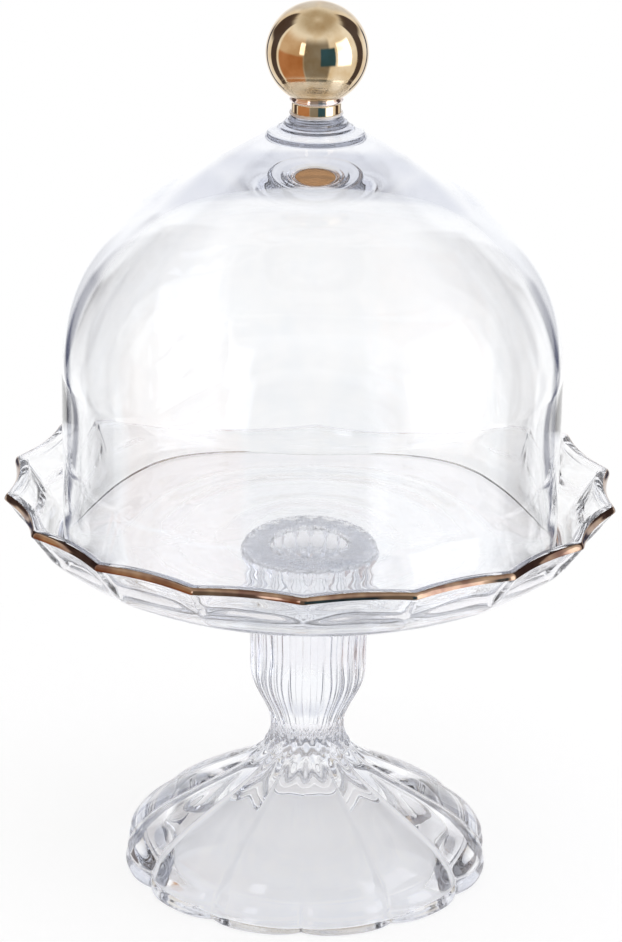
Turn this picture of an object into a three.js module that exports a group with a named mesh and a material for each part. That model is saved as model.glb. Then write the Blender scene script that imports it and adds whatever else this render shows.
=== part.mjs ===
// Glass cake stand with a lift-off dome. Millimetres, +Z up.
// The origin is the centre of the foot's resting ring, on the table, and the front faces -Y.
import * as THREE from 'three';

// Overall sizes
const rimHeight = 128;          // table to the top of the plate's rim
const tipRadius = 95;           // axis to a rim tip, over the gilding
const domeHeight = 127.2;       // dome's mouth to the seat of the knob collar
const footRadius = 57.7;        // axis to the end of a petal
const ballRadius = 15.3;        // knob ball, over the gilding

// Clearances and films
const seatGap = 0.3;            // between any two pieces that rest on, or coat, each other
const domeClearance = 1.2;      // dome's mouth to the edge of the plate's flat floor
const bondThickness = 0.8;      // clear adhesive under the plate
const knobBondThickness = 0.6;  // clear adhesive under the knob
const gildThickness = 0.5;      // gold lustre on the rim and the knob

// Plate
const scallopCount = 18;
const scallopDepth = 3.6;       // how far the rim swings in between two tips
const wellDepth = 17.5;         // rim to floor
const floorThickness = 6.5;
const rimRound = 2.1;           // radius of the rounded rim, half its thickness
const wallReach = 16.8;         // rim tip to the flat floor, outwards
const undersideReach = 36.2;    // rim tip to the flat underside, outwards
const shoulderReach = 6.7;      // rim tip to the foot of the straight outer wall
const shoulderRise = 6.5;       // floor to the foot of the straight outer wall
const gildFrom = -10;           // lustre band on the rounded rim, degrees above level
const gildTo = 58;

// Foot: a hollow bell pressed with petals
const petalCount = 12;
const creaseDepth = 2.6;        // valley between two petals, at the edge of the foot
const footHeight = 40;
const footNeckRadius = 13.2;
const ceilingThickness = 2;     // between the top of the cavity and the stem
const cavityTopRadius = 5;
const landWidth = 6.4;          // flat ring that the foot rests on
const landInset = 1.9;          // petal's end to the flat ring

// Stem
const fluteCount = 20;
const fluteDepth = 0.9;
const stemTopRadius = 20.8;
const stemBodyRadius = 18.3;
const stemWaistRadius = 11.6;
const waistRise = 6.2;          // stem's foot to its waist
const bodyRise = 27.5;          // stem's foot to its full body
const recessRadius = 12.5;      // dished recess in the top of the stem
const recessDepth = 4;

// Dome
const mouthWall = 2.9;
const mouthSwell = 2.6;         // how much thicker the wall grows just above the mouth
const wallThickness = 4.1;      // at the thin ring below the shoulder
const thinRise = 52.8;          // mouth to the thin ring
const crownThickness = 12.1;    // under the collar seat
const shoulderWall = 14.1;      // inwards, from the straight wall to the inner shoulder
const shoulderDrop = 44.4;      // collar seat to the inner shoulder
const shoulderHeight = 46;      // straight wall to the cone
const shoulderRun = 25.4;       // straight wall to the cone, inwards
const coneRise = 22;            // cone, up to the collar seat
const lipRound = 0.8;

// Knob
const collarSeatRadius = 14.6;
const collarHeight = 6;
const collarTopRadius = 7.8;
const knobNeckRadius = 7.4;     // over the gilding
const ballRise = 17.3;          // foot of the knob's neck to the middle of its ball

// Levels, from the table up
const floorLevel = rimHeight - wellDepth;
const undersideLevel = floorLevel - floorThickness;
const plateBondTop = undersideLevel - seatGap;
const stemTop = plateBondTop - bondThickness - seatGap;
const cavityHeight = footHeight - ceilingThickness;
const stemFoot = footHeight + seatGap;
const mouthLevel = floorLevel + seatGap;
const seatLevel = mouthLevel + domeHeight;
const collarFoot = seatLevel + seatGap;
const collarTop = collarFoot + collarHeight;
const knobBondFoot = collarTop + seatGap;
const knobFoot = knobBondFoot + knobBondThickness + seatGap;
const ballLevel = knobFoot + ballRise;

// Radii that follow from the ones above
const glassTipRadius = tipRadius - gildThickness - seatGap;
const floorRadius = glassTipRadius - wallReach;
const domeRadius = floorRadius - domeClearance;

const degrees = Math.PI / 180;

// Distance from the middle of a repeat, 0 in the middle and 1 where two repeats meet.
function offCentre(step, stepsPerRepeat) {
  return Math.abs(2 * (step / stepsPerRepeat % 1) - 1);
}

// Turns a profile of Vector2 (radius, height) points into one closed solid. The profile runs
// anticlockwise, and it starts and ends on the axis or closes on itself. pull(point) says how far
// the point moves in where weight(off-centre distance) is 1.
function turn(profile, { repeats = 1, steps, pull = () => 0, weight = () => 0 }) {
  const columns = repeats * steps;
  const positions = [];
  const rows = profile.map((point) => {
    const first = positions.length / 3;
    const onAxis = point.x < 1e-6;
    for (let column = 0; column < (onAxis ? 1 : columns); column += 1) {
      const angle = 2 * Math.PI * column / columns;
      const radius = onAxis ? 0 : point.x - pull(point) * weight(offCentre(column, steps));
      positions.push(radius * Math.sin(angle), -radius * Math.cos(angle), point.y);
    }
    return { first, onAxis };
  });
  const vertex = (row, column) => row.first + (row.onAxis ? 0 : column % columns);
  const closed = !(rows[0].onAxis && rows[rows.length - 1].onAxis);
  const indices = [];
  for (let i = 0; i < rows.length - (closed ? 0 : 1); i += 1) {
    const lower = rows[i];
    const upper = rows[(i + 1) % rows.length];
    for (let column = 0; column < columns; column += 1) {
      const a = vertex(lower, column);
      const b = vertex(lower, column + 1);
      const c = vertex(upper, column + 1);
      const d = vertex(upper, column);
      if (!lower.onAxis) indices.push(a, b, c);
      if (!upper.onAxis) indices.push(a, c, d);
    }
  }
  const geometry = new THREE.BufferGeometry();
  geometry.setAttribute('position', new THREE.Float32BufferAttribute(positions, 3));
  geometry.setIndex(indices);
  geometry.computeVertexNormals();
  return geometry;
}

// Points of a path, without the repeats where two of its curves meet.
function pointsOf(path, perCurve) {
  return path.getPoints(perCurve).filter((point, i, all) => i === 0 || point.distanceTo(all[i - 1]) > 1e-4);
}

// Points on an arc of the given centre and radius, from one angle to another in degrees.
function arcPoints(centreR, centreZ, radius, from, to, count) {
  return Array.from({ length: count + 1 }, (_, i) => {
    const angle = (from + (to - from) * i / count) * degrees;
    return new THREE.Vector2(centreR + radius * Math.cos(angle), centreZ + radius * Math.sin(angle));
  });
}

// The rim and the wall swing in between the tips, and the swing dies out at the floor.
function scallopPull(point) {
  const share = (point.y - floorLevel + 1) / (wellDepth + 1);
  return scallopDepth * Math.min(1, Math.max(0, share)) ** 0.8;
}

function scallopWeight(off) {
  return 1 - off ** 2;
}

// Hollow bell. The creases between the petals cut deep outside and show faintly inside.
function footGeometry() {
  const landOuter = footRadius - landInset;
  const landInner = landOuter - landWidth;
  const path = new THREE.Path();
  path.moveTo(0, cavityHeight);
  path.lineTo(cavityTopRadius, cavityHeight);
  path.bezierCurveTo(cavityTopRadius + 10, cavityHeight - 9, landInner - 1, 16, landInner, 0);
  path.lineTo(landOuter, 0);
  path.quadraticCurveTo(footRadius, 0, footRadius, 3.2);
  path.bezierCurveTo(footRadius, 17, footNeckRadius + 4.8, footHeight - 11, footNeckRadius, footHeight);
  path.lineTo(0, footHeight);
  const profile = pointsOf(path, 5);
  const outerStart = profile.findIndex((point) => Math.abs(point.x - landOuter) < 1e-6);
  const insideShare = 0.4;
  const pull = (point) => {
    const share = profile.indexOf(point) < outerStart ? insideShare : 1;
    return share * creaseDepth * (0.2 + 0.8 * point.x / footRadius);
  };
  return turn(profile, { repeats: petalCount, steps: 6, pull, weight: (off) => off ** 3 });
}

// Solid fluted baluster with a shallow recess where the plate is bonded on.
function stemGeometry() {
  const waist = stemFoot + waistRise;
  const body = stemFoot + bodyRise;
  const path = new THREE.Path();
  path.moveTo(0, stemFoot);
  path.lineTo(footNeckRadius, stemFoot);
  path.quadraticCurveTo(stemWaistRadius, stemFoot + 3, stemWaistRadius, waist);
  path.bezierCurveTo(stemWaistRadius, waist + 8, stemBodyRadius, body - 10, stemBodyRadius, body);
  path.quadraticCurveTo(stemBodyRadius, (body + stemTop) / 2, stemTopRadius, stemTop);
  path.lineTo(recessRadius, stemTop);
  path.quadraticCurveTo(recessRadius, stemTop - recessDepth, 0, stemTop - recessDepth);
  const profile = pointsOf(path, 3);
  const isFluted = (point) => point.x > recessRadius || point.y < body;
  const pull = (point) => (isFluted(point) ? fluteDepth * point.x / stemTopRadius : 0);
  return turn(profile, { repeats: fluteCount, steps: 4, pull, weight: (off) => off ** 2 });
}

// Ring of clear adhesive between the stem and the underside of the plate.
function plateBondGeometry() {
  const outer = stemTopRadius - fluteDepth - seatGap;
  const inner = recessRadius + seatGap;
  const low = plateBondTop - bondThickness;
  const corners = [[inner, low], [outer, low], [outer, plateBondTop], [inner, plateBondTop]];
  return turn(corners.map(([r, z]) => new THREE.Vector2(r, z)), { steps: 40 });
}

// Shallow dish: thick flat floor, flared scalloped wall and a rounded rim.
function plateGeometry() {
  const rimCentre = glassTipRadius - rimRound;
  const rimLevel = rimHeight - rimRound;
  const shoulderRadius = glassTipRadius - shoulderReach;
  const undersideRadius = glassTipRadius - undersideReach;
  const under = new THREE.Path();
  under.moveTo(0, undersideLevel);
  under.lineTo(undersideRadius, undersideLevel);
  under.bezierCurveTo(
    undersideRadius + 14, undersideLevel,
    shoulderRadius - 5.5, floorLevel,
    shoulderRadius, floorLevel + shoulderRise,
  );
  const inside = new THREE.Path();
  inside.moveTo(glassTipRadius - 12.6, floorLevel + 4.2);
  inside.quadraticCurveTo(floorRadius + 2.2, floorLevel, floorRadius, floorLevel);
  inside.lineTo(0, floorLevel);
  const profile = [
    ...pointsOf(under, 4),
    ...arcPoints(rimCentre, rimLevel, rimRound, 0, 180, 4),
    ...pointsOf(inside, 3),
  ];
  return turn(profile, { repeats: scallopCount, steps: 6, pull: scallopPull, weight: scallopWeight });
}

// Band of gold lustre round the outside of the rim.
function rimGildingGeometry() {
  const rimCentre = glassTipRadius - rimRound;
  const rimLevel = rimHeight - rimRound;
  const inner = rimRound + seatGap;
  const profile = [
    ...arcPoints(rimCentre, rimLevel, inner + gildThickness, gildFrom, gildTo, 2),
    ...arcPoints(rimCentre, rimLevel, inner, gildTo, gildFrom, 2),
  ];
  return turn(profile, { repeats: scallopCount, steps: 6, pull: scallopPull, weight: scallopWeight });
}

// Bell shell: nearly straight wall, round shoulder, and a cone whose glass thickens to the top.
function domeGeometry() {
  const coneFoot = seatLevel - coneRise;
  const wallTop = coneFoot - shoulderHeight;
  const coneRadius = domeRadius - shoulderRun;
  const innerWall = domeRadius - wallThickness;
  const innerMouth = domeRadius - mouthWall;
  const innerApex = seatLevel - crownThickness;
  const innerShoulder = domeRadius - shoulderWall;
  const shoulderLevel = seatLevel - shoulderDrop;
  const thinLevel = mouthLevel + thinRise;
  const lip = mouthLevel + lipRound;
  const path = new THREE.Path();
  path.moveTo(0, innerApex);
  path.bezierCurveTo(21.8, innerApex, innerShoulder - 10.7, innerApex - 16.2, innerShoulder, shoulderLevel);
  path.bezierCurveTo(innerShoulder + 10, shoulderLevel - 15, innerWall, thinLevel, innerWall, thinLevel);
  path.bezierCurveTo(innerWall, thinLevel - 10.2, innerMouth - mouthSwell, lip + 22.8, innerMouth, lip);
  path.quadraticCurveTo(innerMouth, mouthLevel, innerMouth + lipRound, mouthLevel);
  path.lineTo(domeRadius - lipRound, mouthLevel);
  path.quadraticCurveTo(domeRadius, mouthLevel, domeRadius, lip);
  path.lineTo(domeRadius, wallTop);
  path.bezierCurveTo(domeRadius, wallTop + 18, coneRadius + 17, coneFoot - 10.5, coneRadius, coneFoot);
  path.lineTo(collarSeatRadius, seatLevel);
  path.lineTo(0, seatLevel);
  return turn(pointsOf(path, 5), { steps: 48 });
}

// Flared foot of clear glass that carries the knob on the dome.
function collarGeometry() {
  const path = new THREE.Path();
  path.moveTo(0, collarFoot);
  path.lineTo(collarSeatRadius - seatGap, collarFoot);
  path.quadraticCurveTo(collarTopRadius + 3, collarFoot + 2.4, collarTopRadius, collarTop);
  path.lineTo(0, collarTop);
  return turn(pointsOf(path, 6), { steps: 32 });
}

function knobBondGeometry() {
  const radius = knobNeckRadius - gildThickness - seatGap;
  const corners = [[0, 0], [radius, 0], [radius, knobBondThickness], [0, knobBondThickness]];
  return turn(corners.map(([r, z]) => new THREE.Vector2(r, z + knobBondFoot)), { steps: 28 });
}

// Outline of a ball on a short neck, from the neck's foot to the top of the ball.
function knobOutline(neck, ball, count) {
  const from = Math.asin(neck / ball) / degrees - 90;
  return [new THREE.Vector2(neck, knobFoot), ...arcPoints(0, ballLevel, ball, from, 90, count)];
}

function onAxisEnd(points) {
  points[points.length - 1].x = 0;
  return points;
}

function knobGeometry() {
  const neck = knobNeckRadius - gildThickness - seatGap;
  const ball = ballRadius - gildThickness - seatGap;
  const profile = [new THREE.Vector2(0, knobFoot), ...onAxisEnd(knobOutline(neck, ball, 12))];
  return turn(profile, { steps: 28 });
}

// Skin of gold lustre over the ball and its neck, open below.
function knobGildingGeometry() {
  const outside = onAxisEnd(knobOutline(knobNeckRadius, ballRadius, 12));
  const inside = onAxisEnd(knobOutline(knobNeckRadius - gildThickness, ballRadius - gildThickness, 12));
  return turn([...inside.reverse(), ...outside], { steps: 28 });
}

const clearGlass = { color: 0xe9edf4, roughness: 0.03, metalness: 0, transparent: true, opacity: 0.35 };
const clearAdhesive = { color: 0xf3f4f6, roughness: 0.1, metalness: 0, transparent: true, opacity: 0.5 };
const goldLustre = { color: 0xc9974a, roughness: 0.12, metalness: 1 };

const pieces = [
  ['foot', footGeometry(), clearGlass],
  ['stem', stemGeometry(), clearGlass],
  ['plate_bond', plateBondGeometry(), clearAdhesive],
  ['plate', plateGeometry(), clearGlass],
  ['rim_gilding', rimGildingGeometry(), goldLustre],
  ['dome', domeGeometry(), clearGlass],
  ['knob_collar', collarGeometry(), clearGlass],
  ['knob_bond', knobBondGeometry(), clearAdhesive],
  ['knob', knobGeometry(), clearGlass],
  ['knob_gilding', knobGildingGeometry(), goldLustre],
];

const cakeStand = new THREE.Group();
for (const [name, geometry, finish] of pieces) {
  const mesh = new THREE.Mesh(geometry, new THREE.MeshStandardMaterial(finish));
  mesh.name = name;
  cakeStand.add(mesh);
}

export default cakeStand;
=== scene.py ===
import math

import bpy
import numpy as np
from mathutils import Matrix, Vector


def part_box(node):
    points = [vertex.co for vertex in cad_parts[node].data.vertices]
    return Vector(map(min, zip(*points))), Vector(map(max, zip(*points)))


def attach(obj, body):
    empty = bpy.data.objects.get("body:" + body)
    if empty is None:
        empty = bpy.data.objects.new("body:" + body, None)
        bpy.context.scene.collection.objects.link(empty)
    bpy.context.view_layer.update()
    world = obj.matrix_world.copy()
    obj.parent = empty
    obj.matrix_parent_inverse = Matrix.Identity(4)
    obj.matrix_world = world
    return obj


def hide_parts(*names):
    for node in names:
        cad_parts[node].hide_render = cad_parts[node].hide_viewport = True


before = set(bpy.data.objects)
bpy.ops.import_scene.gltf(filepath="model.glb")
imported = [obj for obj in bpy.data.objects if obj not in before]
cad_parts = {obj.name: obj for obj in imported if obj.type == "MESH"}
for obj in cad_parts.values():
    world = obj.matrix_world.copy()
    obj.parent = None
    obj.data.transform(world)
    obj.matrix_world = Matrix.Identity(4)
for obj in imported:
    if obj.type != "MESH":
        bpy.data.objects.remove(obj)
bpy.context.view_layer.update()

mm = 0.001
samePoint = 1e-4   # mm, closer than this two points are one
print("frame loaded:", ", ".join(sorted(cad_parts)))


def toLinear(hexColour):
    # sRGB hex to the linear values that the shaders want
    parts = [int(hexColour.lstrip("#")[i:i + 2], 16) / 255 for i in (0, 2, 4)]
    return [c / 12.92 if c <= 0.04045 else ((c + 0.055) / 1.055) ** 2.4 for c in parts] + [1.0]


def addNode(tree, kind, settings=None, **inputs):
    # one shader node, its settings, and each input either a value or a link
    node = tree.nodes.new(kind)
    for name, value in (settings or {}).items():
        setattr(node, name, value)
    for name, value in inputs.items():
        name = name.replace("_", " ")
        socket = node.inputs[int(name[1:])] if name[1:].isdigit() else node.inputs[name]
        if isinstance(value, bpy.types.NodeSocket):
            tree.links.new(value, socket)
        else:
            socket.default_value = value
    return node


def bezier(points, count):
    # points along a quadratic or cubic curve, from (radius, height) control points in mm
    p = np.array(points, float)
    t = np.linspace(0, 1, count)[:, None]
    if len(p) == 3:
        return (1 - t) ** 2 * p[0] + 2 * (1 - t) * t * p[1] + t ** 2 * p[2]
    return (1 - t) ** 3 * p[0] + 3 * (1 - t) ** 2 * t * p[1] + 3 * (1 - t) * t ** 2 * p[2] + t ** 3 * p[3]


def arc(centre, radius, start, end, count):
    angle = np.radians(np.linspace(start, end, count))
    return np.stack([centre[0] + radius * np.cos(angle), centre[1] + radius * np.sin(angle)], 1)


def line(start, end, count):
    return np.linspace(start, end, count)


def joinCurves(*curves):
    # one outline, without the doubled points where two curves meet
    points = np.vstack(curves)
    step = np.hypot(*np.diff(points, axis=0).T)
    return points[np.concatenate([[True], step > samePoint])]


def smoothStep(low, high, value):
    t = np.clip((value - low) / (high - low), 0, 1)
    return t * t * (3 - 2 * t)


def turnedPiece(name, outline, columns, shape=None, closed=True):
    # Turns an outline (mm, anticlockwise in radius and height) into one smooth mesh.
    # shape(radius, height, angle) moves the points, with angle 0 at the front.
    angle = np.arange(columns) * 2 * np.pi / columns
    radius = np.repeat(outline[:, :1], columns, 1)
    height = np.repeat(outline[:, 1:], columns, 1)
    around = np.repeat(angle[None, :], len(outline), 0)
    if shape:
        radius, height = shape(radius, height, around)
    poles = [i for i in (0, len(outline) - 1) if outline[i, 0] < samePoint]   # ends on the axis
    vertices, first = [], []
    for i in range(len(outline)):
        first.append(len(vertices))
        if i in poles:
            vertices.append((0, 0, float(height[i].mean()) * mm))
            continue
        x = radius[i] * np.sin(angle) * mm
        y = -radius[i] * np.cos(angle) * mm
        vertices.extend(zip(x.tolist(), y.tolist(), (height[i] * mm).tolist()))
    faces = []
    rows = len(outline) - (1 if len(poles) == 2 or not closed else 0)
    for i in range(rows):
        j = (i + 1) % len(outline)
        for c in range(columns):
            n = (c + 1) % columns
            if i in poles:
                faces.append((first[i], first[j] + n, first[j] + c))
            elif j in poles:
                faces.append((first[i] + c, first[i] + n, first[j]))
            else:
                faces.append((first[i] + c, first[i] + n, first[j] + n, first[j] + c))
    mesh = bpy.data.meshes.new(name)
    mesh.from_pydata(vertices, [], faces)
    mesh.polygons.foreach_set("use_smooth", [True] * len(mesh.polygons))
    mesh.update()
    piece = bpy.data.objects.new(name, mesh)
    bpy.context.scene.collection.objects.link(piece)
    return piece


def place(piece, body, material, slot, *nodes):
    # puts the finish on a piece, makes it ride, and hides the CAD nodes it stands for
    piece.data.materials.clear()
    piece.data.materials.append(material)
    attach(piece, body)
    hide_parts(*nodes)


def heights(node):
    low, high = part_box(node)
    return low.z / mm, high.z / mm


def reach(node):
    # widest radius of a CAD node in mm
    low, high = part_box(node)
    return max(high.x, -low.y, high.y) / mm


def fromMiddle(angle, repeats):
    # 0 in the middle of a repeat, 1 where two repeats meet; a meeting lies at the front
    turn = (angle * repeats / (2 * np.pi)) % 1
    return np.abs(2 * turn - 1)


cameraSet = {
    "distance": 1.112,       # m, from the middle of the stand
    "height": 0.1309,        # m, the level it looks at
    "elevation": 20.73,      # degrees down on the stand
    "azimuth": 1.0,          # degrees round to the right
    "roll": 0.85,            # degrees
    "lens": 209.3,           # mm
    "sensor": 36,            # mm wide
    "nearest": 0.01,         # m, nothing closer is drawn
}


def makeCamera():
    data = bpy.data.cameras.new("camera")
    data.sensor_fit = "HORIZONTAL"
    data.sensor_width = cameraSet["sensor"]
    data.lens = cameraSet["lens"]
    data.clip_start = cameraSet["nearest"]
    camera = bpy.data.objects.new("camera", data)
    bpy.context.scene.collection.objects.link(camera)
    up, turn = math.radians(cameraSet["elevation"]), math.radians(cameraSet["azimuth"])
    target = Vector((0, 0, cameraSet["height"]))
    away = Vector((math.sin(turn) * math.cos(up), -math.cos(turn) * math.cos(up), math.sin(up)))
    camera.location = target + away * cameraSet["distance"]
    look = (-away).to_track_quat("-Z", "Y").to_matrix().to_4x4()
    camera.matrix_world = Matrix.Translation(camera.location) @ look @ Matrix.Rotation(
        math.radians(cameraSet["roll"]), 4, "Z")
    bpy.context.scene.camera = camera


makeCamera()
print("camera placed")


# Light: white paper behind the stand, grey cards at its sides, a window to the right
# and a warm wall to the left.
roomSet = {
    "backdrop": "#ffffff",
    "sweep": "#ffffff",          # the paper behind and below the stand
    "sweepStrength": 1.08,
    "upperSweep": "#e8eaf1",     # where the paper falls off in light above the stand
    "flag": "#4d5169",           # black cards beside the paper, greyed by stray light
    "sideDark": "#594f50",       # the unlit corners of the room
    "warmWall": "#dcc3a9",
    "warmTable": "#c48d66",
    "roomDark": "#3a6179",       # a blue doorway
    "roomMiddle": "#96938e",     # behind the viewer
    "window": "#f3f6ff",
    "windowStrength": 3.0,
    "ceiling": "#c9bfae",
    # each mask is from, to and softness in degrees; azimuth is counted from straight behind the stand
    "flagAzimuth": (28, 37, 2.5), "flagElevation": (-40, 8, 7),
    "upperAzimuth": (-1, 27, 8), "upperElevation": (9, 48, 7),
    "sideAzimuth": (57, 79, 2), "sideElevation": (-50, 50, 8),
    "wallAzimuth": (86, 150, 3), "wallElevation": (-80, 38, 12),
    "tableElevation": (-80, 2, 3),
    "cheekAzimuth": (38, 60, 2), "cheekLeftElevation": (4, 50, 5), "cheekRightElevation": (12, 50, 6),
    "middleAzimuth": (150, 190, 4),
    "darkAzimuth": (137, 171, 2), "darkElevation": (-18, 21, 3),
    "windowAzimuth": (96, 132, 1.5), "windowElevation": (-18, 29, 3),
    "stripAzimuth": (141, 152, 1.5), "stripElevation": (6, 30, 3),
    "ceilingElevation": (54, 91, 17),
}


def makeRoom():
    world = bpy.data.worlds.new("room")
    bpy.context.scene.world = world
    world.use_nodes = True
    tree = world.node_tree
    tree.nodes.clear()
    axes = addNode(tree, "ShaderNodeSeparateXYZ",
                   Vector=addNode(tree, "ShaderNodeTexCoord").outputs["Generated"])

    def calculate(operation, first, second=0.0):
        return addNode(tree, "ShaderNodeMath", {"operation": operation}, _0=first, _1=second).outputs[0]

    across = calculate("ABSOLUTE", axes.outputs["X"])
    azimuth = calculate("DEGREES", calculate("ARCTAN2", across, axes.outputs["Y"]))
    elevation = calculate("DEGREES", calculate("ARCSINE", axes.outputs["Z"]))
    onRight = calculate("GREATER_THAN", axes.outputs["X"], 0.0)
    onLeft = calculate("SUBTRACT", 1.0, onRight)

    def mask(value, name):
        # 1 between the two angles and 0 outside them, with soft ends
        low, high, soft = roomSet[name]
        rise = addNode(tree, "ShaderNodeMapRange", {"interpolation_type": "SMOOTHSTEP"}, Value=value,
                       From_Min=float(low - soft), From_Max=float(low + soft), To_Min=0.0, To_Max=1.0)
        fall = addNode(tree, "ShaderNodeMapRange", {"interpolation_type": "SMOOTHSTEP"}, Value=value,
                       From_Min=float(high - soft), From_Max=float(high + soft), To_Min=1.0, To_Max=0.0)
        return calculate("MULTIPLY", rise.outputs[0], fall.outputs[0])

    def paint(below, colour, *masks):
        # lays a colour over what is there already, where all the masks are 1
        factor = masks[0]
        for one in masks[1:]:
            factor = calculate("MULTIPLY", factor, one)
        mix = addNode(tree, "ShaderNodeMix", {"data_type": "RGBA"}, Factor=factor, _6=below, _7=colour)
        return mix.outputs[2]

    glow = [c * roomSet["windowStrength"] for c in toLinear(roomSet["window"])]
    paper = [c * roomSet["sweepStrength"] for c in toLinear(roomSet["sweep"])]
    room = paint(paper, toLinear(roomSet["upperSweep"]),
                 mask(azimuth, "upperAzimuth"), mask(elevation, "upperElevation"))
    room = paint(room, toLinear(roomSet["flag"]),
                 mask(azimuth, "flagAzimuth"), mask(elevation, "flagElevation"))
    room = paint(room, toLinear(roomSet["sideDark"]), mask(azimuth, "sideAzimuth"),
                 mask(elevation, "sideElevation"))
    room = paint(room, toLinear(roomSet["sideDark"]), mask(azimuth, "cheekAzimuth"),
                 mask(elevation, "cheekLeftElevation"), onLeft)
    room = paint(room, toLinear(roomSet["sideDark"]), mask(azimuth, "cheekAzimuth"),
                 mask(elevation, "cheekRightElevation"), onRight)
    studio = room   # the half in front of the viewer
    room = paint(room, toLinear(roomSet["warmWall"]), mask(azimuth, "wallAzimuth"),
                 mask(elevation, "wallElevation"), onLeft)
    room = paint(room, toLinear(roomSet["warmTable"]), mask(azimuth, "wallAzimuth"),
                 mask(elevation, "tableElevation"), onLeft)
    room = paint(room, toLinear(roomSet["roomMiddle"]), mask(azimuth, "middleAzimuth"),
                 mask(elevation, "wallElevation"))
    room = paint(room, toLinear(roomSet["roomDark"]), mask(azimuth, "darkAzimuth"),
                 mask(elevation, "darkElevation"), onRight)
    room = paint(room, glow, mask(azimuth, "windowAzimuth"), mask(elevation, "windowElevation"), onRight)
    room = paint(room, glow, mask(azimuth, "stripAzimuth"), mask(elevation, "stripElevation"), onLeft)
    path = addNode(tree, "ShaderNodeLightPath").outputs
    # light that goes straight through the glass shows the paper from any side, and reflections show the room
    unreflected = calculate("LESS_THAN", path["Glossy Depth"], 0.5)
    straight = calculate("MULTIPLY", path["Is Transmission Ray"], unreflected)
    room = paint(room, studio, straight)
    room = paint(room, toLinear(roomSet["ceiling"]), mask(elevation, "ceilingElevation"))
    seen = paint(room, toLinear(roomSet["backdrop"]), path["Is Camera Ray"])
    background = addNode(tree, "ShaderNodeBackground", Color=seen, Strength=1.0)
    addNode(tree, "ShaderNodeOutputWorld", Surface=background.outputs[0])


softBox = {"position": (0.15, -0.1, 1.3), "size": 1.0, "power": 6.0}   # m, m and watts


def makeSoftBox():
    # lights the floor from above; the glass shows the room instead of this lamp
    data = bpy.data.lights.new("softBox", "AREA")
    data.size = softBox["size"]
    data.energy = softBox["power"]
    lamp = bpy.data.objects.new("softBox", data)
    bpy.context.scene.collection.objects.link(lamp)
    lamp.location = softBox["position"]
    lamp.visible_glossy = False
    lamp.visible_transmission = False
    aim = Vector((0, 0, 0)) - lamp.location
    lamp.rotation_euler = aim.to_track_quat("-Z", "Y").to_euler()


makeRoom()
makeSoftBox()
view = bpy.context.scene.view_settings
view.view_transform = "Standard"
view.look = "None"
view.exposure = 0.0
view.gamma = 1.0
cycles = bpy.context.scene.cycles
cycles.max_bounces = 28
cycles.transmission_bounces = 28
cycles.glossy_bounces = 12
cycles.diffuse_bounces = 3
cycles.transparent_max_bounces = 12
cycles.sample_clamp_indirect = 6.0
cycles.blur_glossy = 0.0
print("room and light ready")


glassSet = {
    "tint": "#fbfcfd",
    "ior": 1.52,               # soda-lime glass
    "absorption": "#ccd2e2",   # a faint cold grey through thick glass
    "absorptionPerMetre": 7.0,
    # ripples and seeds in mm: spacing of the ripples, their depth, and spacing of the faint tint
    "pressed": (9, 0.03, 4),
    "blown": (26, 0.05, 8),
    "clearAdhesive": (1.6, 0.2, 2),
    "milkyAdhesive": (1.6, 0.1, 2),
    "adhesiveRoughness": 0.03,
    "milkyRoughness": 0.1,
    "milk": 0.6,               # share of the light that the milky adhesive scatters
}


def glassMaterial(name, kind, roughness=0.0, milk=0.0):
    # Soda-lime glass, fire polished: fully clear, with slow ripples left by the mould or the blowing,
    # so the eye sees soft wavering lines rather than a perfect lens.
    rippleMm, rippleDepthMm, seedMm = glassSet[kind]
    material = bpy.data.materials.new(name)
    material.use_nodes = True
    tree = material.node_tree
    tree.nodes.clear()
    place3d = addNode(tree, "ShaderNodeTexCoord").outputs["Object"]
    ripple = addNode(tree, "ShaderNodeTexNoise", {"noise_dimensions": "3D"}, Vector=place3d,
                     Scale=1 / (rippleMm * mm), Detail=1.5, Roughness=0.45)
    bump = addNode(tree, "ShaderNodeBump", Height=ripple.outputs[0], Strength=1.0,
                   Distance=rippleDepthMm * mm)
    haze = addNode(tree, "ShaderNodeTexNoise", {"noise_dimensions": "3D"}, Vector=place3d,
                   Scale=1 / (seedMm * mm), Detail=3.0)
    shade = addNode(tree, "ShaderNodeMapRange", Value=haze.outputs[0], From_Min=0.35, From_Max=0.75,
                    To_Min=0.0, To_Max=1.0)
    colour = addNode(tree, "ShaderNodeMix", {"data_type": "RGBA"}, Factor=shade.outputs[0],
                     _6=toLinear("#ffffff"), _7=toLinear(glassSet["tint"]))
    shader = addNode(tree, "ShaderNodeBsdfPrincipled", Base_Color=colour.outputs[2],
                     Roughness=roughness, IOR=glassSet["ior"],
                     Transmission_Weight=1.0 - milk, Normal=bump.outputs[0])
    fade = addNode(tree, "ShaderNodeVolumeAbsorption", Color=toLinear(glassSet["absorption"]),
                   Density=glassSet["absorptionPerMetre"])
    addNode(tree, "ShaderNodeOutputMaterial", Surface=shader.outputs[0], Volume=fade.outputs[0])
    return material


lustreSet = {
    "rimBright": "#b0957c",
    "rimDeep": "#7d5d50",
    "rimRoughness": 0.08,
    "knobBright": "#e3d0b0",
    "knobDeep": "#c8aa7e",
    "knobBead": "#f4e6e0",      # the bead under the ball took almost no gold
    "knobFoot": "#b98a5c",      # painted shade: browner gold on the foot of the knob, where it sits in the collar
    "coat": 0.25,               # the glassy flux that the gold is fired in
    "knobRoughness": 0.025,
    "thinFilm": "#efe6e6",      # what passes through the film when it is seen from the glass side
    "thinFilmShare": 0.95,
    "streakMm": 7.0,            # width of a brush streak
    "brushRelief": 0.05,        # mm
    "wornMm": 2.2,              # size of a rubbed patch
    "wornRoughness": 0.12,      # how much rougher a rubbed patch is
}


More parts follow.
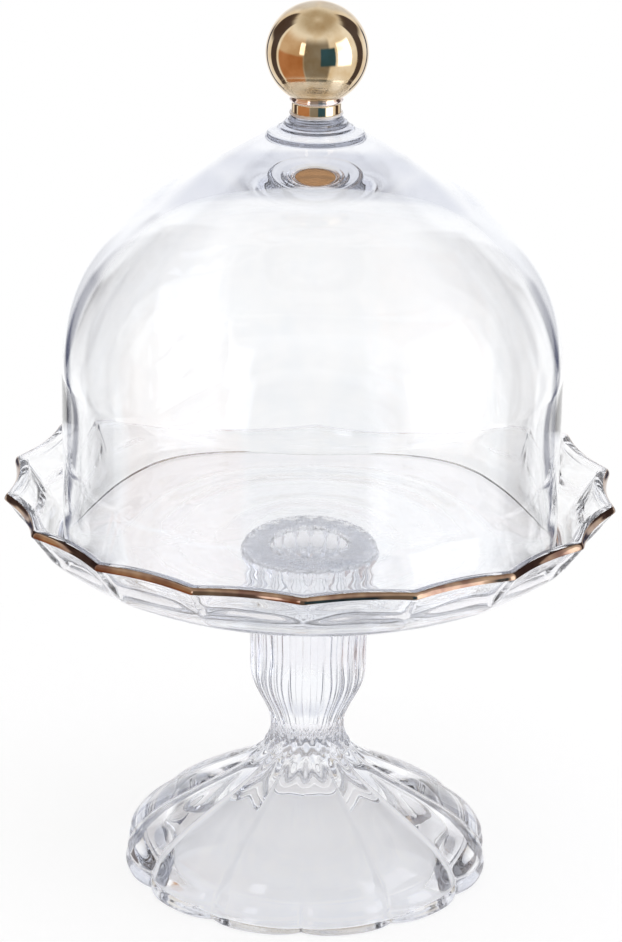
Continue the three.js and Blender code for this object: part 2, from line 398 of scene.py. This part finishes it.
def goldLustre(name, bright, deep, roughness, filmShare=0.0, paleFrom=None, paleTo=None, footTop=None):
    # Liquid bright gold, brushed on and fired: a mirror a few thousandths of a millimetre thick,
    # warmer and browner where the brush laid it on thin.
    material = bpy.data.materials.new(name)
    material.use_nodes = True
    tree = material.node_tree
    tree.nodes.clear()
    place3d = addNode(tree, "ShaderNodeTexCoord").outputs["Object"]
    streak = addNode(tree, "ShaderNodeTexNoise", {"noise_dimensions": "3D"}, Vector=place3d,
                     Scale=1 / (lustreSet["streakMm"] * mm), Detail=3.0)
    laid = addNode(tree, "ShaderNodeMapRange", Value=streak.outputs[0], From_Min=0.35, From_Max=0.65,
                   To_Min=0.0, To_Max=1.0)
    colour = addNode(tree, "ShaderNodeMix", {"data_type": "RGBA"}, Factor=laid.outputs[0],
                     _6=toLinear(deep), _7=toLinear(bright))
    colour = colour.outputs[2]
    if paleFrom:
        # heights in mm between which the gold is left thin
        level = addNode(tree, "ShaderNodeSeparateXYZ", Vector=place3d).outputs["Z"]
        above = addNode(tree, "ShaderNodeMath", {"operation": "GREATER_THAN"}, _0=level, _1=paleFrom * mm)
        below = addNode(tree, "ShaderNodeMath", {"operation": "LESS_THAN"}, _0=level, _1=paleTo * mm)
        pale = addNode(tree, "ShaderNodeMath", {"operation": "MULTIPLY"}, _0=above.outputs[0],
                       _1=below.outputs[0])
        colour = addNode(tree, "ShaderNodeMix", {"data_type": "RGBA"}, Factor=pale.outputs[0], _6=colour,
                         _7=toLinear(lustreSet["knobBead"])).outputs[2]
        # painted shade: the foot, where it sits in the collar, is made browner
        shadedFoot = addNode(tree, "ShaderNodeMath", {"operation": "LESS_THAN"}, _0=level, _1=footTop * mm)
        colour = addNode(tree, "ShaderNodeMix", {"data_type": "RGBA"}, Factor=shadedFoot.outputs[0], _6=colour,
                         _7=toLinear(lustreSet["knobFoot"])).outputs[2]
    worn = addNode(tree, "ShaderNodeTexNoise", {"noise_dimensions": "3D"}, Vector=place3d,
                   Scale=1 / (lustreSet["wornMm"] * mm), Detail=4.0)
    rough = addNode(tree, "ShaderNodeMapRange", Value=worn.outputs[0], From_Min=0.5, From_Max=0.8,
                    To_Min=roughness, To_Max=roughness + lustreSet["wornRoughness"])
    bump = addNode(tree, "ShaderNodeBump", Height=streak.outputs[0], Strength=0.6,
                   Distance=lustreSet["brushRelief"] * mm)
    shader = addNode(tree, "ShaderNodeBsdfPrincipled", Base_Color=colour, Metallic=1.0,
                     Roughness=rough.outputs[0], Normal=bump.outputs[0], Coat_Weight=lustreSet["coat"])
    surface = shader.outputs[0]
    if filmShare:
        # From behind, through the glass, the film lets most of the light through and only tints it.
        behind = addNode(tree, "ShaderNodeNewGeometry").outputs["Backfacing"]
        share = addNode(tree, "ShaderNodeMath", {"operation": "MULTIPLY"}, _0=behind, _1=filmShare)
        film = addNode(tree, "ShaderNodeBsdfTransparent", Color=toLinear(lustreSet["thinFilm"]))
        surface = addNode(tree, "ShaderNodeMixShader", Fac=share.outputs[0], _1=surface,
                          _2=film.outputs[0]).outputs[0]
    addNode(tree, "ShaderNodeOutputMaterial", Surface=surface)
    return material


pressedGlass = glassMaterial("pressedSodaGlass", "pressed")
blownGlass = glassMaterial("blownSodaGlass", "blown")
# Clear adhesive cured under light between two glass faces: its lumps and trapped air scatter what
# passes, so it reads as a pale grey ring.
curedAdhesive = glassMaterial("curedClearAdhesive", "clearAdhesive", roughness=glassSet["adhesiveRoughness"])
# The same adhesive where it was wiped by hand, which leaves it cloudy.
milkyAdhesive = glassMaterial("curedMilkyAdhesive", "milkyAdhesive", glassSet["milkyRoughness"],
                              glassSet["milk"])
rimGold = goldLustre("firedGoldLustre", lustreSet["rimBright"], lustreSet["rimDeep"],
                     lustreSet["rimRoughness"], lustreSet["thinFilmShare"])
print("materials ready")


# Ring of adhesive between the stem and the plate. Sizes in mm.
bondSet = {
    "inner": 12.9,
    "outer": 19.6,
    "overlap": 0.04,          # how far it reaches into each neighbour
    "lump": 0.2,              # depth of the hollows in its top
    "columns": 240,
}

# Plate: pressed dish with a scalloped wall. Sizes in mm unless a line says otherwise.
plateSet = {
    "scallops": 18,
    "scallopDepth": 3.6,      # how far the rim swings in between two tips
    "tipRound": 0.07,         # share of the depth that softens each tip
    "wellDepth": 17.5,
    "floorThickness": 6.5,
    "swingStart": 3,          # below the floor of the dish, where the swing of the wall begins
    "swingFull": 1,           # below the rim, where it is complete
    "outsideFade": 0.9,       # power by which the swing dies out down the wall
    "insideFade": 1.1,
    "hollow": 1.9,            # extra hollow in the outside of each facet
    "hollowLevel": 9.5,       # above the floor of the dish
    "hollowTall": 3.6,
    "bondPits": 0.12,         # crinkled glass over the adhesive
    "wallWave": 0.14,         # slow waves left by the mould and the fire polish
    "wallReach": 16.8,        # from the tips in to the flat floor
    "wallKnee": (12.6, 4.2),  # from the tips in and above the floor, where the inside starts to curve
    "shoulderReach": 6.7,     # from the tips in to the shoulder under the wall
    "shoulderRise": 6.5,
    "undersideReach": 36.2,   # from the tips in to the flat underside
    "rimRound": 2.1,
    "floorRings": 0.16,       # height of the soft pressing rings in the floor
    "ringSpacing": (19, 11.3),
    "ringsWithin": (20, 30),  # from the tips in, where the rings fade in
    "ringsFrom": (4, 14),     # from the middle out, likewise
    "columnsPerScallop": 28,
}


def plateLevels():
    # level of the rim, radius of its tips, and level of the floor of the dish
    rim = heights("plate")[1]
    return rim, reach("plate"), rim - plateSet["wellDepth"]


def plateOutline():
    rim, tip, floor = plateLevels()
    edge = floor - plateSet["floorThickness"]
    rimRound = plateSet["rimRound"]
    shoulder = (tip - plateSet["shoulderReach"], floor + plateSet["shoulderRise"])
    flatUnder = tip - plateSet["undersideReach"]
    flatFloor = tip - plateSet["wallReach"]
    knee = (tip - plateSet["wallKnee"][0], floor + plateSet["wallKnee"][1])
    rimCentre = (tip - rimRound, rim - rimRound)
    inBond, outBond = bondSet["inner"] - 1, bondSet["outer"] + 1.4   # finely divided between these
    outside = joinCurves(
        line((0, edge), (inBond, edge), 12),
        line((inBond, edge), (outBond, edge), 34),
        line((outBond, edge), (flatUnder, edge), 20),
        bezier([(flatUnder, edge), (flatUnder + 14, edge + 0.4), (shoulder[0] - 5.5, floor), shoulder], 30),
        line(shoulder, (tip, rim - rimRound), 16),
    )
    rimArc = arc(rimCentre, rimRound, 0, 180, 16)
    inside = joinCurves(
        line((tip - 2 * rimRound, rim - rimRound), knee, 16),
        bezier([knee, (flatFloor + 2.2, floor), (flatFloor, floor)], 12),
        line((flatFloor, floor), (0, floor), 60),
    )
    return joinCurves(outside, rimArc, inside), len(outside)


def scallopDip(height, angle, power):
    # how far the wall is drawn in between two tips
    rim, tip, floor = plateLevels()
    off = fromMiddle(angle, plateSet["scallops"])
    soft = plateSet["tipRound"]
    between = np.sqrt((1 - off ** 2) ** 2 + soft ** 2) - soft
    start = floor - plateSet["swingStart"]
    share = np.clip((height - start) / (rim - plateSet["swingFull"] - start), 0, 1) ** power
    return between * share * plateSet["scallopDepth"]


def wallDip(height, angle, inward):
    # inward is 0 on the outside of the wall and 1 on the inside
    outer = scallopDip(height, angle, plateSet["outsideFade"])
    return outer + inward * (scallopDip(height, angle, plateSet["insideFade"]) - outer)


def crinkle(radius, angle):
    # Uneven pits about a millimetre apart. The factors are radians per mm, unlike each other so that
    # nothing repeats.
    x, y = radius * np.sin(angle), radius * np.cos(angle)
    bend = 0.8 * np.sin(0.9 * x + 1.7 * y) + 0.8 * np.sin(1.3 * y - 0.7 * x)
    pits = np.sin(4.1 * x + 1.3 * y + bend) * np.sin(3.7 * y - 1.9 * x + bend)
    return pits + 0.4 * np.sin(7.3 * x - 5.1 * y)


def plateShape(radius, height, angle):
    # Outside, the hollows run right down to the shoulder; inside, they fade out towards the floor.
    rim, tip, floor = plateLevels()
    outline, outsideRows = plateOutline()
    rows = np.arange(len(outline))[:, None]
    bondRows, rimRows = 45, 14      # rows that reach past the adhesive, and rows round the rim
    inward = smoothStep(outsideRows, outsideRows + rimRows, rows)
    dip = wallDip(height, angle, inward)
    off = fromMiddle(angle, plateSet["scallops"])
    belly = (height - floor - plateSet["hollowLevel"]) / plateSet["hollowTall"]
    belly = np.exp(-belly ** 2) * (rows < outsideRows)
    dip = dip + plateSet["hollow"] * belly * (1 - off ** 2)
    wave = np.sin(9 * angle + 0.55 * height) * np.sin(0.8 * height + 5 * angle + 1)
    wave = wave + 0.6 * np.sin(31 * angle - 0.7 * height)
    dip = dip + plateSet["wallWave"] * wave * belly
    fadeOut, fadeIn = plateSet["ringsWithin"]
    flat = smoothStep(tip - fadeOut, tip - fadeIn, radius) * smoothStep(*plateSet["ringsFrom"], radius)
    wide, narrow = plateSet["ringSpacing"]
    rings = np.cos(2 * np.pi * radius / wide) + 0.5 * np.cos(2 * np.pi * radius / narrow + 1)
    topSide = rows > outsideRows + 20
    overBond = (rows < bondRows) * smoothStep(bondSet["inner"] - 0.6, bondSet["inner"] + 0.4, radius)
    overBond = overBond * smoothStep(bondSet["outer"] + 1, bondSet["outer"], radius)
    return radius - dip, height + np.where(
        topSide, flat * rings * plateSet["floorRings"],
        overBond * crinkle(radius, angle) * plateSet["bondPits"])


def makePlate():
    piece = turnedPiece("scallopedPlate", plateOutline()[0],
                        plateSet["scallops"] * plateSet["columnsPerScallop"], plateShape)
    place(piece, "stand", pressedGlass, "clear_glass", "plate")


# Gold band round the rim.
gildingSet = {
    "from": -3,               # degrees round the rim, from the outermost point
    "to": 56,
    "proud": 0.06,            # mm off the glass
    "rows": 14,
}


def makeRimGilding():
    # The fired film is far thinner than a hair, so it is one sheet that hugs the glass.
    rim, tip, floor = plateLevels()
    rimRound = plateSet["rimRound"]
    centre = (tip - rimRound, rim - rimRound)
    outline = arc(centre, rimRound + gildingSet["proud"], gildingSet["from"], gildingSet["to"],
                  gildingSet["rows"])

    def hug(radius, height, angle):
        around = np.degrees(np.arctan2(height - centre[1], radius - centre[0]))
        inward = smoothStep(0, 180, around)
        dip = wallDip(height, angle, inward)
        return radius - dip, height

    piece = turnedPiece("rimGilding", outline, plateSet["scallops"] * plateSet["columnsPerScallop"],
                        hug, closed=False)
    place(piece, "stand", rimGold, "gold_lustre", "rim_gilding")


makePlate()
makeRimGilding()
print("plate and rim made")


# Pedestal: petalled foot and fluted stem, hot-joined into one. Sizes in mm.
pedestalSet = {
    "petals": 12,
    "crease": 2.7,            # valley between two petals at the edge
    "insideShare": 0.5,       # how much of the valley shows in the cavity too
    "footRadius": 57.7,
    "baseBead": 4.6,          # height of the thick edge that it stands on
    "cavityHeight": 38,
    "cavityTop": 5,           # radius of the flat top of the cavity
    "landWidth": 6.4,         # ring that touches the table
    "landInset": 1.9,
    "neckRadius": 13.2,       # where the foot meets the stem
    "creaseFade": (2, 7),     # above and below the neck, between which the valleys die out
    "flutes": 20,
    "fluteDepth": 1.0,
    "fluteStart": (1, 7),     # above the neck, between which the flutes deepen
    "flutesAtTop": 1.6,       # how much deeper they are under the plate
    "top": 20.8,              # radius, like the next two
    "body": 18.3,
    "waist": 11.6,
    "waistRise": 6.2,         # above the foot of the stem
    "bodyRise": 27.5,
    "recess": 12.5,           # radius of the hollow in the top
    "recessDepth": 4,
    "drop": 0.34,             # how proud the drops at the ends of the flutes stand
    # rows of drops: level from the neck, height, turn in radians and share of the drop
    "dropRows": ((3.0, 1.0, 0, 0.9), (0.2, 1.3, math.pi, 1.1), (-3.6, 2.2, 0, 1.2)),
    "columns": 480,
}


def pedestalOutline():
    # from the middle of the cavity out along the table and up to the middle of the recess
    neckLevel = heights("foot")[1]
    stemLow, top = heights("stem")
    edge, bead = pedestalSet["footRadius"], pedestalSet["baseBead"]
    landOuter = edge - pedestalSet["landInset"]
    landInner = landOuter - pedestalSet["landWidth"]
    ceiling, cavityTop = pedestalSet["cavityHeight"], pedestalSet["cavityTop"]
    neck, thin, full = pedestalSet["neckRadius"], pedestalSet["waist"], pedestalSet["body"]
    waist, body = stemLow + pedestalSet["waistRise"], stemLow + pedestalSet["bodyRise"]
    wide, recess = pedestalSet["top"], pedestalSet["recess"]
    inside = joinCurves(
        bezier([(0, ceiling), (cavityTop, ceiling), (cavityTop + 1.5, ceiling - 1.4)], 14),
        bezier([(cavityTop + 1.5, ceiling - 1.4), (cavityTop + 10, ceiling - 9),
                (landInner - 1.6, bead + 12), (landInner - 0.8, bead)], 50),
        bezier([(landInner - 0.8, bead), (landInner - 0.4, 0.8), (landInner + 0.2, 0.6)], 10),
        bezier([(landInner + 0.2, 0.6), (landInner + 0.5, 0), (landInner + 1.2, 0)], 5),
        line((landInner + 1.2, 0), (landOuter, 0), 5),
    )
    outside = joinCurves(
        bezier([(landOuter, 0), (edge, 0), (edge, bead * 0.45)], 9),
        bezier([(edge, bead * 0.45), (edge, bead * 0.85), (edge - 0.7, bead)], 6),
        bezier([(edge - 0.7, bead), (edge - 0.9, bead + 0.5), (edge - 0.5, bead + 1.3)], 5),
        bezier([(edge - 0.5, bead + 1.3), (edge - 2.6, 17.5), (neck + 4.8, neckLevel - 11),
                (neck, neckLevel)], 60),
        bezier([(neck, neckLevel), (thin, neckLevel + 3), (thin, waist)], 16),
        bezier([(thin, waist), (thin, waist + 8), (full, body - 10), (full, body)], 26),
        bezier([(full, body), (full, (body + top) / 2), (wide, top - 1.8)], 24),
        bezier([(wide, top - 1.8), (wide, top), (wide - 1.6, top)], 12),
        line((wide - 1.6, top), (recess + 0.8, top), 14),
        bezier([(recess + 0.8, top), (recess, top), (recess, top - 0.8)], 5),
        bezier([(recess, top - 0.8), (recess - 0.6, top - 4), (0, top - pedestalSet["recessDepth"])], 24),
    )
    return joinCurves(inside, outside), len(inside)


def pedestalShape(radius, height, angle):
    # valleys between the petals, flutes up the stem and drops where the two meet
    outline, insideRows = pedestalOutline()
    rows = np.arange(len(outline))[:, None]
    neckLevel = heights("foot")[1]
    inside = rows < insideRows - 2
    petal = fromMiddle(angle, pedestalSet["petals"])
    flute = fromMiddle(angle, pedestalSet["flutes"])
    share = np.where(inside, pedestalSet["insideShare"], 1.0)
    spread = 0.2 + 0.8 * radius / pedestalSet["footRadius"]
    above, below = pedestalSet["creaseFade"]
    fade = smoothStep(neckLevel + above, neckLevel - below, height)
    crease = pedestalSet["crease"] * share * spread * petal ** 3 * fade
    top = outline[:, 1].max()
    # what follows counts in mm down from the top of the stem and out from the edge of the recess
    inRecess = (radius < pedestalSet["recess"] + 0.9) & (height > top - 5)
    start, full = pedestalSet["fluteStart"]
    deeper = 1 + pedestalSet["flutesAtTop"] * smoothStep(top - 6, top - 1, height)
    rise = smoothStep(neckLevel + start, neckLevel + full, height) * deeper
    # on the top face the flutes stop short of the recess
    recess = pedestalSet["recess"]
    rise = rise * smoothStep(recess + 2.5, recess + 5, radius + 8 * (height < top - 3))
    depth = np.where(inRecess, 0, pedestalSet["fluteDepth"] * radius / pedestalSet["top"])
    groove = depth * flute ** 2 * rise
    # each row of drops is set between those of the row above
    drops = 0
    for level, tall, turn, size in pedestalSet["dropRows"]:
        near = np.exp(-((height - neckLevel - level) / tall) ** 2)
        drops = drops + size * near * np.cos(pedestalSet["flutes"] * angle + turn)
    drops = np.where(inside | inRecess, 0, drops * pedestalSet["drop"])
    return radius - crease - groove + drops, height


def makePedestal():
    piece = turnedPiece("petalPedestal", pedestalOutline()[0], pedestalSet["columns"], pedestalShape)
    place(piece, "stand", pressedGlass, "clear_glass", "foot", "stem")


def makePlateBond():
    # clear adhesive pressed out between the stem and the plate, lumpy with trapped air
    high = heights("plate")[0] + bondSet["overlap"]
    low = heights("stem")[1] - bondSet["overlap"]
    middle, half = (low + high) / 2, (high - low) / 2
    inner, outer = bondSet["inner"], bondSet["outer"]
    outline = joinCurves(
        line((inner, low), (outer, low), 26),
        arc((outer, middle), half, -90, 90, 8),
        line((outer, high), (inner, high), 26),
        arc((inner, middle), half, 90, 270, 8),
    )[:-1]

    def lumps(radius, height, angle):
        # lumps some 3 mm apart; the factors are radians per mm
        x, y = radius * np.sin(angle), radius * np.cos(angle)
        lump = (np.sin(2.1 * x + 1.3 * y) * np.sin(1.7 * y - 0.9 * x + 1) +
                0.6 * np.sin(3.9 * x - 2.3 * y + 2) * np.sin(3.1 * y + 1.9 * x))
        sunken = np.clip(lump, 0, None) * (height > middle)
        betweenFaces = abs(height - middle) < half * 0.98
        return radius + 0.5 * lump * betweenFaces, height - bondSet["lump"] * sunken

    piece = turnedPiece("stemAdhesive", outline, bondSet["columns"], lumps)
    place(piece, "stand", curedAdhesive, "clear_adhesive", "plate_bond")


makePedestal()
makePlateBond()
print("pedestal and its bond made")


# Dome: blown bell with a turned collar. Sizes in mm.
domeSet = {
    "lip": 0.8,                       # radius of the fire-polished mouth
    "mouthWall": 2.9,
    "shoulderRun": 25.4,              # from the widest part in to the cone
    "coneRise": 22,
    "shoulderHeight": 46,
    # inner face, from the axis and above the rim of the plate
    "apex": 97.9,
    "apexEase": 21.8,
    "crownEase": (51.4, 81.7),
    "insideShoulder": (62.1, 65.6),
    "shoulderEase": 18.1,
    "thinnest": (72.13, 35.6),
    "thinEaseDown": 10.2,
    "mouthSwell": 2.6,
    "mouthEase": 22.8,
    "collarRadius": 14.6,             # at its foot
    "collarTop": 7.8,                 # radius
    "collarRings": 0.1,               # depth of the turning rings left in the collar
    "ringPitch": 1.25,
    "columns": 320,
}


def domeOutline():
    # down the inner face from the apex, round the mouth, and up the outside to the top of the collar
    mouth, seat = heights("dome")
    edge = reach("dome")
    rim = heights("plate")[1]
    coneFoot, coneRadius = seat - domeSet["coneRise"], edge - domeSet["shoulderRun"]
    wallTop = coneFoot - domeSet["shoulderHeight"]
    lip, innerMouth = mouth + domeSet["lip"], edge - domeSet["mouthWall"]
    collarTop = heights("knob_collar")[1]
    collarRadius, throat = domeSet["collarRadius"], domeSet["collarTop"]
    apex = (0, rim + domeSet["apex"])
    ease = (domeSet["crownEase"][0], rim + domeSet["crownEase"][1])
    shoulder = (domeSet["insideShoulder"][0], rim + domeSet["insideShoulder"][1])
    thin = (domeSet["thinnest"][0], rim + domeSet["thinnest"][1])
    run = np.subtract(shoulder, ease) / np.hypot(*np.subtract(shoulder, ease))
    beyond = tuple(np.add(shoulder, run * domeSet["shoulderEase"]))
    collar = joinCurves(
        bezier([(collarRadius + 1.0, seat - 0.75), (collarRadius + 0.2, seat - 0.3),
                (collarRadius + 0.1, seat + 0.3)], 6),
        bezier([(collarRadius + 0.1, seat + 0.3), (collarRadius, seat + 1.1),
                (collarRadius - 1.6, seat + 1.5)], 8),
        bezier([(collarRadius - 1.6, seat + 1.5), (throat + 2.6, seat + 2.6), (throat, collarTop - 0.8)], 40),
        bezier([(throat, collarTop - 0.8), (throat, collarTop), (throat - 0.4, collarTop)], 5),
    )
    ripple = domeSet["collarRings"] * np.sin(2 * np.pi * (collar[:, 1] - seat) / domeSet["ringPitch"])
    collar[:, 0] += ripple * smoothStep(seat + 0.9, seat + 1.8, collar[:, 1])
    return joinCurves(
        bezier([apex, (domeSet["apexEase"], apex[1]), ease, shoulder], 60),
        bezier([shoulder, beyond, thin, thin], 50),
        bezier([thin, (thin[0], thin[1] - domeSet["thinEaseDown"]),
                (innerMouth - domeSet["mouthSwell"], lip + domeSet["mouthEase"]), (innerMouth, lip)], 40),
        arc((innerMouth + domeSet["lip"], lip), domeSet["lip"], 180, 270, 6),
        arc((edge - domeSet["lip"], lip), domeSet["lip"], -90, 0, 6),
        line((edge, lip), (edge, wallTop), 30),
        bezier([(edge, wallTop), (edge, wallTop + 18), (coneRadius + 17, coneFoot - 10.5),
                (coneRadius, coneFoot)], 60),
        line((coneRadius, coneFoot), (collarRadius + 1.8, seat - 1.2), 30),
        collar,
        line((throat - 0.4, collarTop), (0, collarTop), 10),
    )


def makeDome():
    # The collar was drawn out of the same hot gather, so dome and collar are one body of glass here.
    piece = turnedPiece("glassDome", domeOutline(), domeSet["columns"])
    place(piece, "cloche", blownGlass, "clear_glass", "dome", "knob_collar")


makeDome()
print("dome made")


# Knob: gilded ball on a short neck. Sizes in mm.
knobSet = {
    "neck": 7.4,              # radius
    "ball": 15.3,             # radius
    "seam": 0.2,              # how far outside the neck the ball starts
    "bead": 0.62,             # round bead between the ball and its neck
    "sunk": 0.05,             # how deep the gilded foot lies in the collar
    "bondRing": 0.9,          # thickness of the squeezed-out adhesive
    "paleBelow": 1.2,         # the gold is thin from here below the seam
    "paleAbove": 0.15,        # to here above it
    "shadedFoot": 0.2,            # height of the painted shade, browner gold, at the foot
    "columns": 160,
}


def knobLevels():
    # the middle of the ball, and where it meets the bead
    centre = heights("knob_gilding")[1] - knobSet["ball"]
    start = knobSet["neck"] + knobSet["seam"]
    return centre, centre - math.sqrt(knobSet["ball"] ** 2 - start ** 2)


def makeKnobGold():
    seam = knobLevels()[1]
    return goldLustre("firedGoldLustreOnKnob", lustreSet["knobBright"], lustreSet["knobDeep"],
                      lustreSet["knobRoughness"], paleFrom=seam - knobSet["paleBelow"],
                      paleTo=seam + knobSet["paleAbove"],
                      footTop=heights("knob_collar")[1] + knobSet["shadedFoot"])


def makeKnob():
    collarTop = heights("knob_collar")[1]
    ball, neck, bead = knobSet["ball"], knobSet["neck"], knobSet["bead"]
    centre, meet = knobLevels()
    foot = collarTop - knobSet["sunk"]
    start = math.degrees(math.atan2(meet - centre, neck + knobSet["seam"]))
    skin = joinCurves(
        line((0, foot), (neck - 0.3, foot), 10),
        bezier([(neck - 0.3, foot), (neck, foot), (neck, foot + 0.4)], 5),
        line((neck, foot + 0.4), (neck, meet - 2 * bead), 8),
        arc((neck + 0.05, meet - bead), bead, -80, 75, 12),
        arc((0, centre), ball, start, 90, 100),
    )
    skin[-1, 0] = 0
    piece = turnedPiece("gildedKnob", skin, knobSet["columns"])
    place(piece, "cloche", makeKnobGold(), "gold_lustre", "knob_gilding")


def makeKnobBond():
    # a clear bead of adhesive all round the seam under the knob
    collarTop = heights("knob_collar")[1]
    half = knobSet["bondRing"] / 2
    outline = arc((domeSet["collarTop"] - 0.2, collarTop + half * 0.7), half, -180, 180, 20)[:-1]
    piece = turnedPiece("knobAdhesive", outline, knobSet["columns"])
    place(piece, "cloche", milkyAdhesive, "clear_adhesive", "knob_bond")


makeKnob()
makeKnobBond()
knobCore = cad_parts["knob"]     # the glass inside the gold stays the CAD node
knobCore.data.materials.clear()
knobCore.data.materials.append(pressedGlass)
print("knob made")


floorSet = {
    "colour": "#f3f5fa",
    "glow": "#ffffff",
    "glowStrength": 0.12,
    "paperShare": 0.82,       # how far the bare table is lifted to the white of the backdrop
    "solidTo": 0.16,          # m from the stand
    "goneAt": 0.34,           # m
    "level": -0.0002,         # m, a hair under the foot
    "sides": 96,
}


def makeFloor():
    # a matt white table that melts into the paper; the soft shadow of the foot falls on it
    mesh = bpy.data.meshes.new("floor")
    count, edge = floorSet["sides"], floorSet["goneAt"]
    ring = [(edge * math.cos(2 * math.pi * i / count),
             edge * math.sin(2 * math.pi * i / count), floorSet["level"]) for i in range(count)]
    mesh.from_pydata(ring, [], [tuple(range(count))])
    floor = bpy.data.objects.new("floor", mesh)
    bpy.context.scene.collection.objects.link(floor)
    material = bpy.data.materials.new("matteTable")
    material.use_nodes = True
    tree = material.node_tree
    tree.nodes.clear()
    spot = addNode(tree, "ShaderNodeTexCoord").outputs["Object"]
    distance = addNode(tree, "ShaderNodeVectorMath", {"operation": "LENGTH"}, _0=spot).outputs["Value"]
    gone = addNode(tree, "ShaderNodeMapRange", {"interpolation_type": "SMOOTHSTEP"}, Value=distance,
                   From_Min=floorSet["solidTo"], From_Max=floorSet["goneAt"], To_Min=0.0, To_Max=1.0)
    diffuse = addNode(tree, "ShaderNodeBsdfDiffuse", Color=toLinear(floorSet["colour"]))
    glow = addNode(tree, "ShaderNodeEmission", Color=toLinear(floorSet["glow"]),
                   Strength=floorSet["glowStrength"])
    solid = addNode(tree, "ShaderNodeAddShader", _0=diffuse.outputs[0], _1=glow.outputs[0])
    bare = addNode(tree, "ShaderNodeMath", {"operation": "MULTIPLY"}, _1=floorSet["paperShare"],
                   _0=addNode(tree, "ShaderNodeLightPath").outputs["Is Camera Ray"])
    white = addNode(tree, "ShaderNodeEmission", Color=toLinear(floorSet["glow"]))
    table = addNode(tree, "ShaderNodeMixShader", Fac=bare.outputs[0], _1=solid.outputs[0],
                    _2=white.outputs[0])
    clear = addNode(tree, "ShaderNodeBsdfTransparent")
    mix = addNode(tree, "ShaderNodeMixShader", Fac=gone.outputs[0], _1=table.outputs[0],
                  _2=clear.outputs[0])
    addNode(tree, "ShaderNodeOutputMaterial", Surface=mix.outputs[0])
    mesh.materials.append(material)


makeFloor()
print("floor laid")
